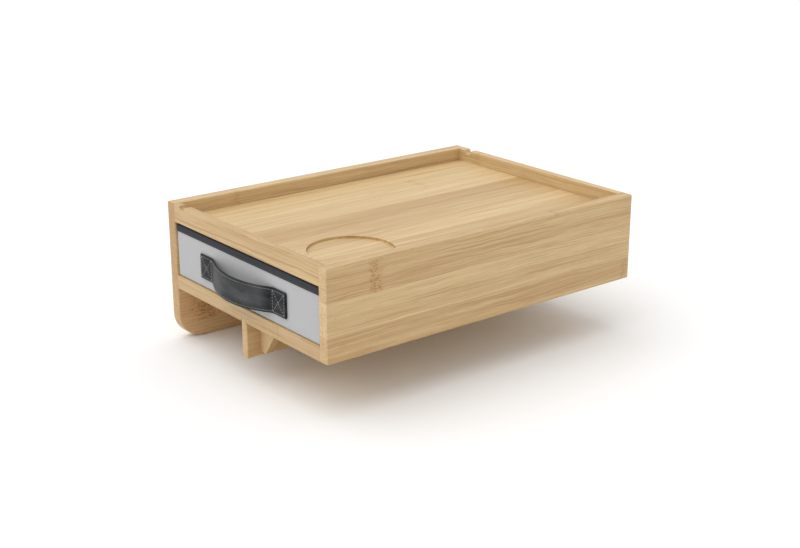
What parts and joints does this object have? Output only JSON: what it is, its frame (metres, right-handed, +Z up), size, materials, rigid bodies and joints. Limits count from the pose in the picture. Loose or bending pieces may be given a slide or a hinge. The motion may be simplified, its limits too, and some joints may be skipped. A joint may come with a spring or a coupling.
{
  "type": "clip-on bedside shelf with drawer",
  "caption": "Bamboo tray shelf with a pull-out fabric drawer and an open slot underneath that hooks over a bed rail or frame edge.",
  "frame": {"origin": "centre of the rail seat: the underside of the bottom board between the clamp panel and the clamp flange", "axes": "+Z up, +Y from the drawer's front to the back panel, +X from the clamp panel to the free side panel"},
  "size_m": [0.294, 0.4273, 0.157],
  "materials": {
    "bamboo": "laminated bamboo strips under a thin satin lacquer",
    "dowel": "bare fluted hardwood",
    "screw_steel": "zinc plated",
    "grey_fabric": "plain woven light grey cloth",
    "lining_fabric": "non-woven grey lining",
    "dark_binding": "folded dark grey tape",
    "strap_leather": "satin imitation leather with topstitching",
    "hardboard": "raw hardboard"
  },
  "bodies": {
    "case": {"left_clamp_panel": "bamboo", "right_side_panel": "bamboo", "bottom_board": "bamboo", "back_panel": "bamboo", "front_top_rail": "bamboo", "tray_board": "bamboo", "inner_clamp_flange": "bamboo", "gusset_front": "bamboo", "gusset_rear": "bamboo", "board_dowel_left_1": "dowel", "board_dowel_left_2": "dowel", "board_dowel_left_3": "dowel", "board_dowel_left_4": "dowel", "board_dowel_right_1": "dowel", "board_dowel_right_2": "dowel", "board_dowel_right_3": "dowel", "board_dowel_right_4": "dowel", "back_dowel_left_1": "dowel", "back_dowel_left_2": "dowel", "back_dowel_right_1": "dowel", "back_dowel_right_2": "dowel", "rail_dowel_left_1": "dowel", "rail_dowel_right_1": "dowel", "flange_screw_1": "screw_steel", "flange_screw_2": "screw_steel", "flange_screw_3": "screw_steel", "flange_screw_4": "screw_steel", "gusset_screw_front": "screw_steel", "gusset_screw_rear": "screw_steel"},
    "drawer": {"drawer_cover": "grey_fabric", "drawer_lining": "lining_fabric", "stiffener_base": "hardboard", "stiffener_front": "hardboard", "stiffener_back": "hardboard", "stiffener_left": "hardboard", "stiffener_right": "hardboard", "rim_binding": "dark_binding", "handle_strap": "strap_leather"}
  },
  "joints": [
    {"name": "drawer_slide", "type": "slide", "parent": "case", "child": "drawer", "axis": [0, -1, 0], "range_m": [0, 0.3]}
  ]
}
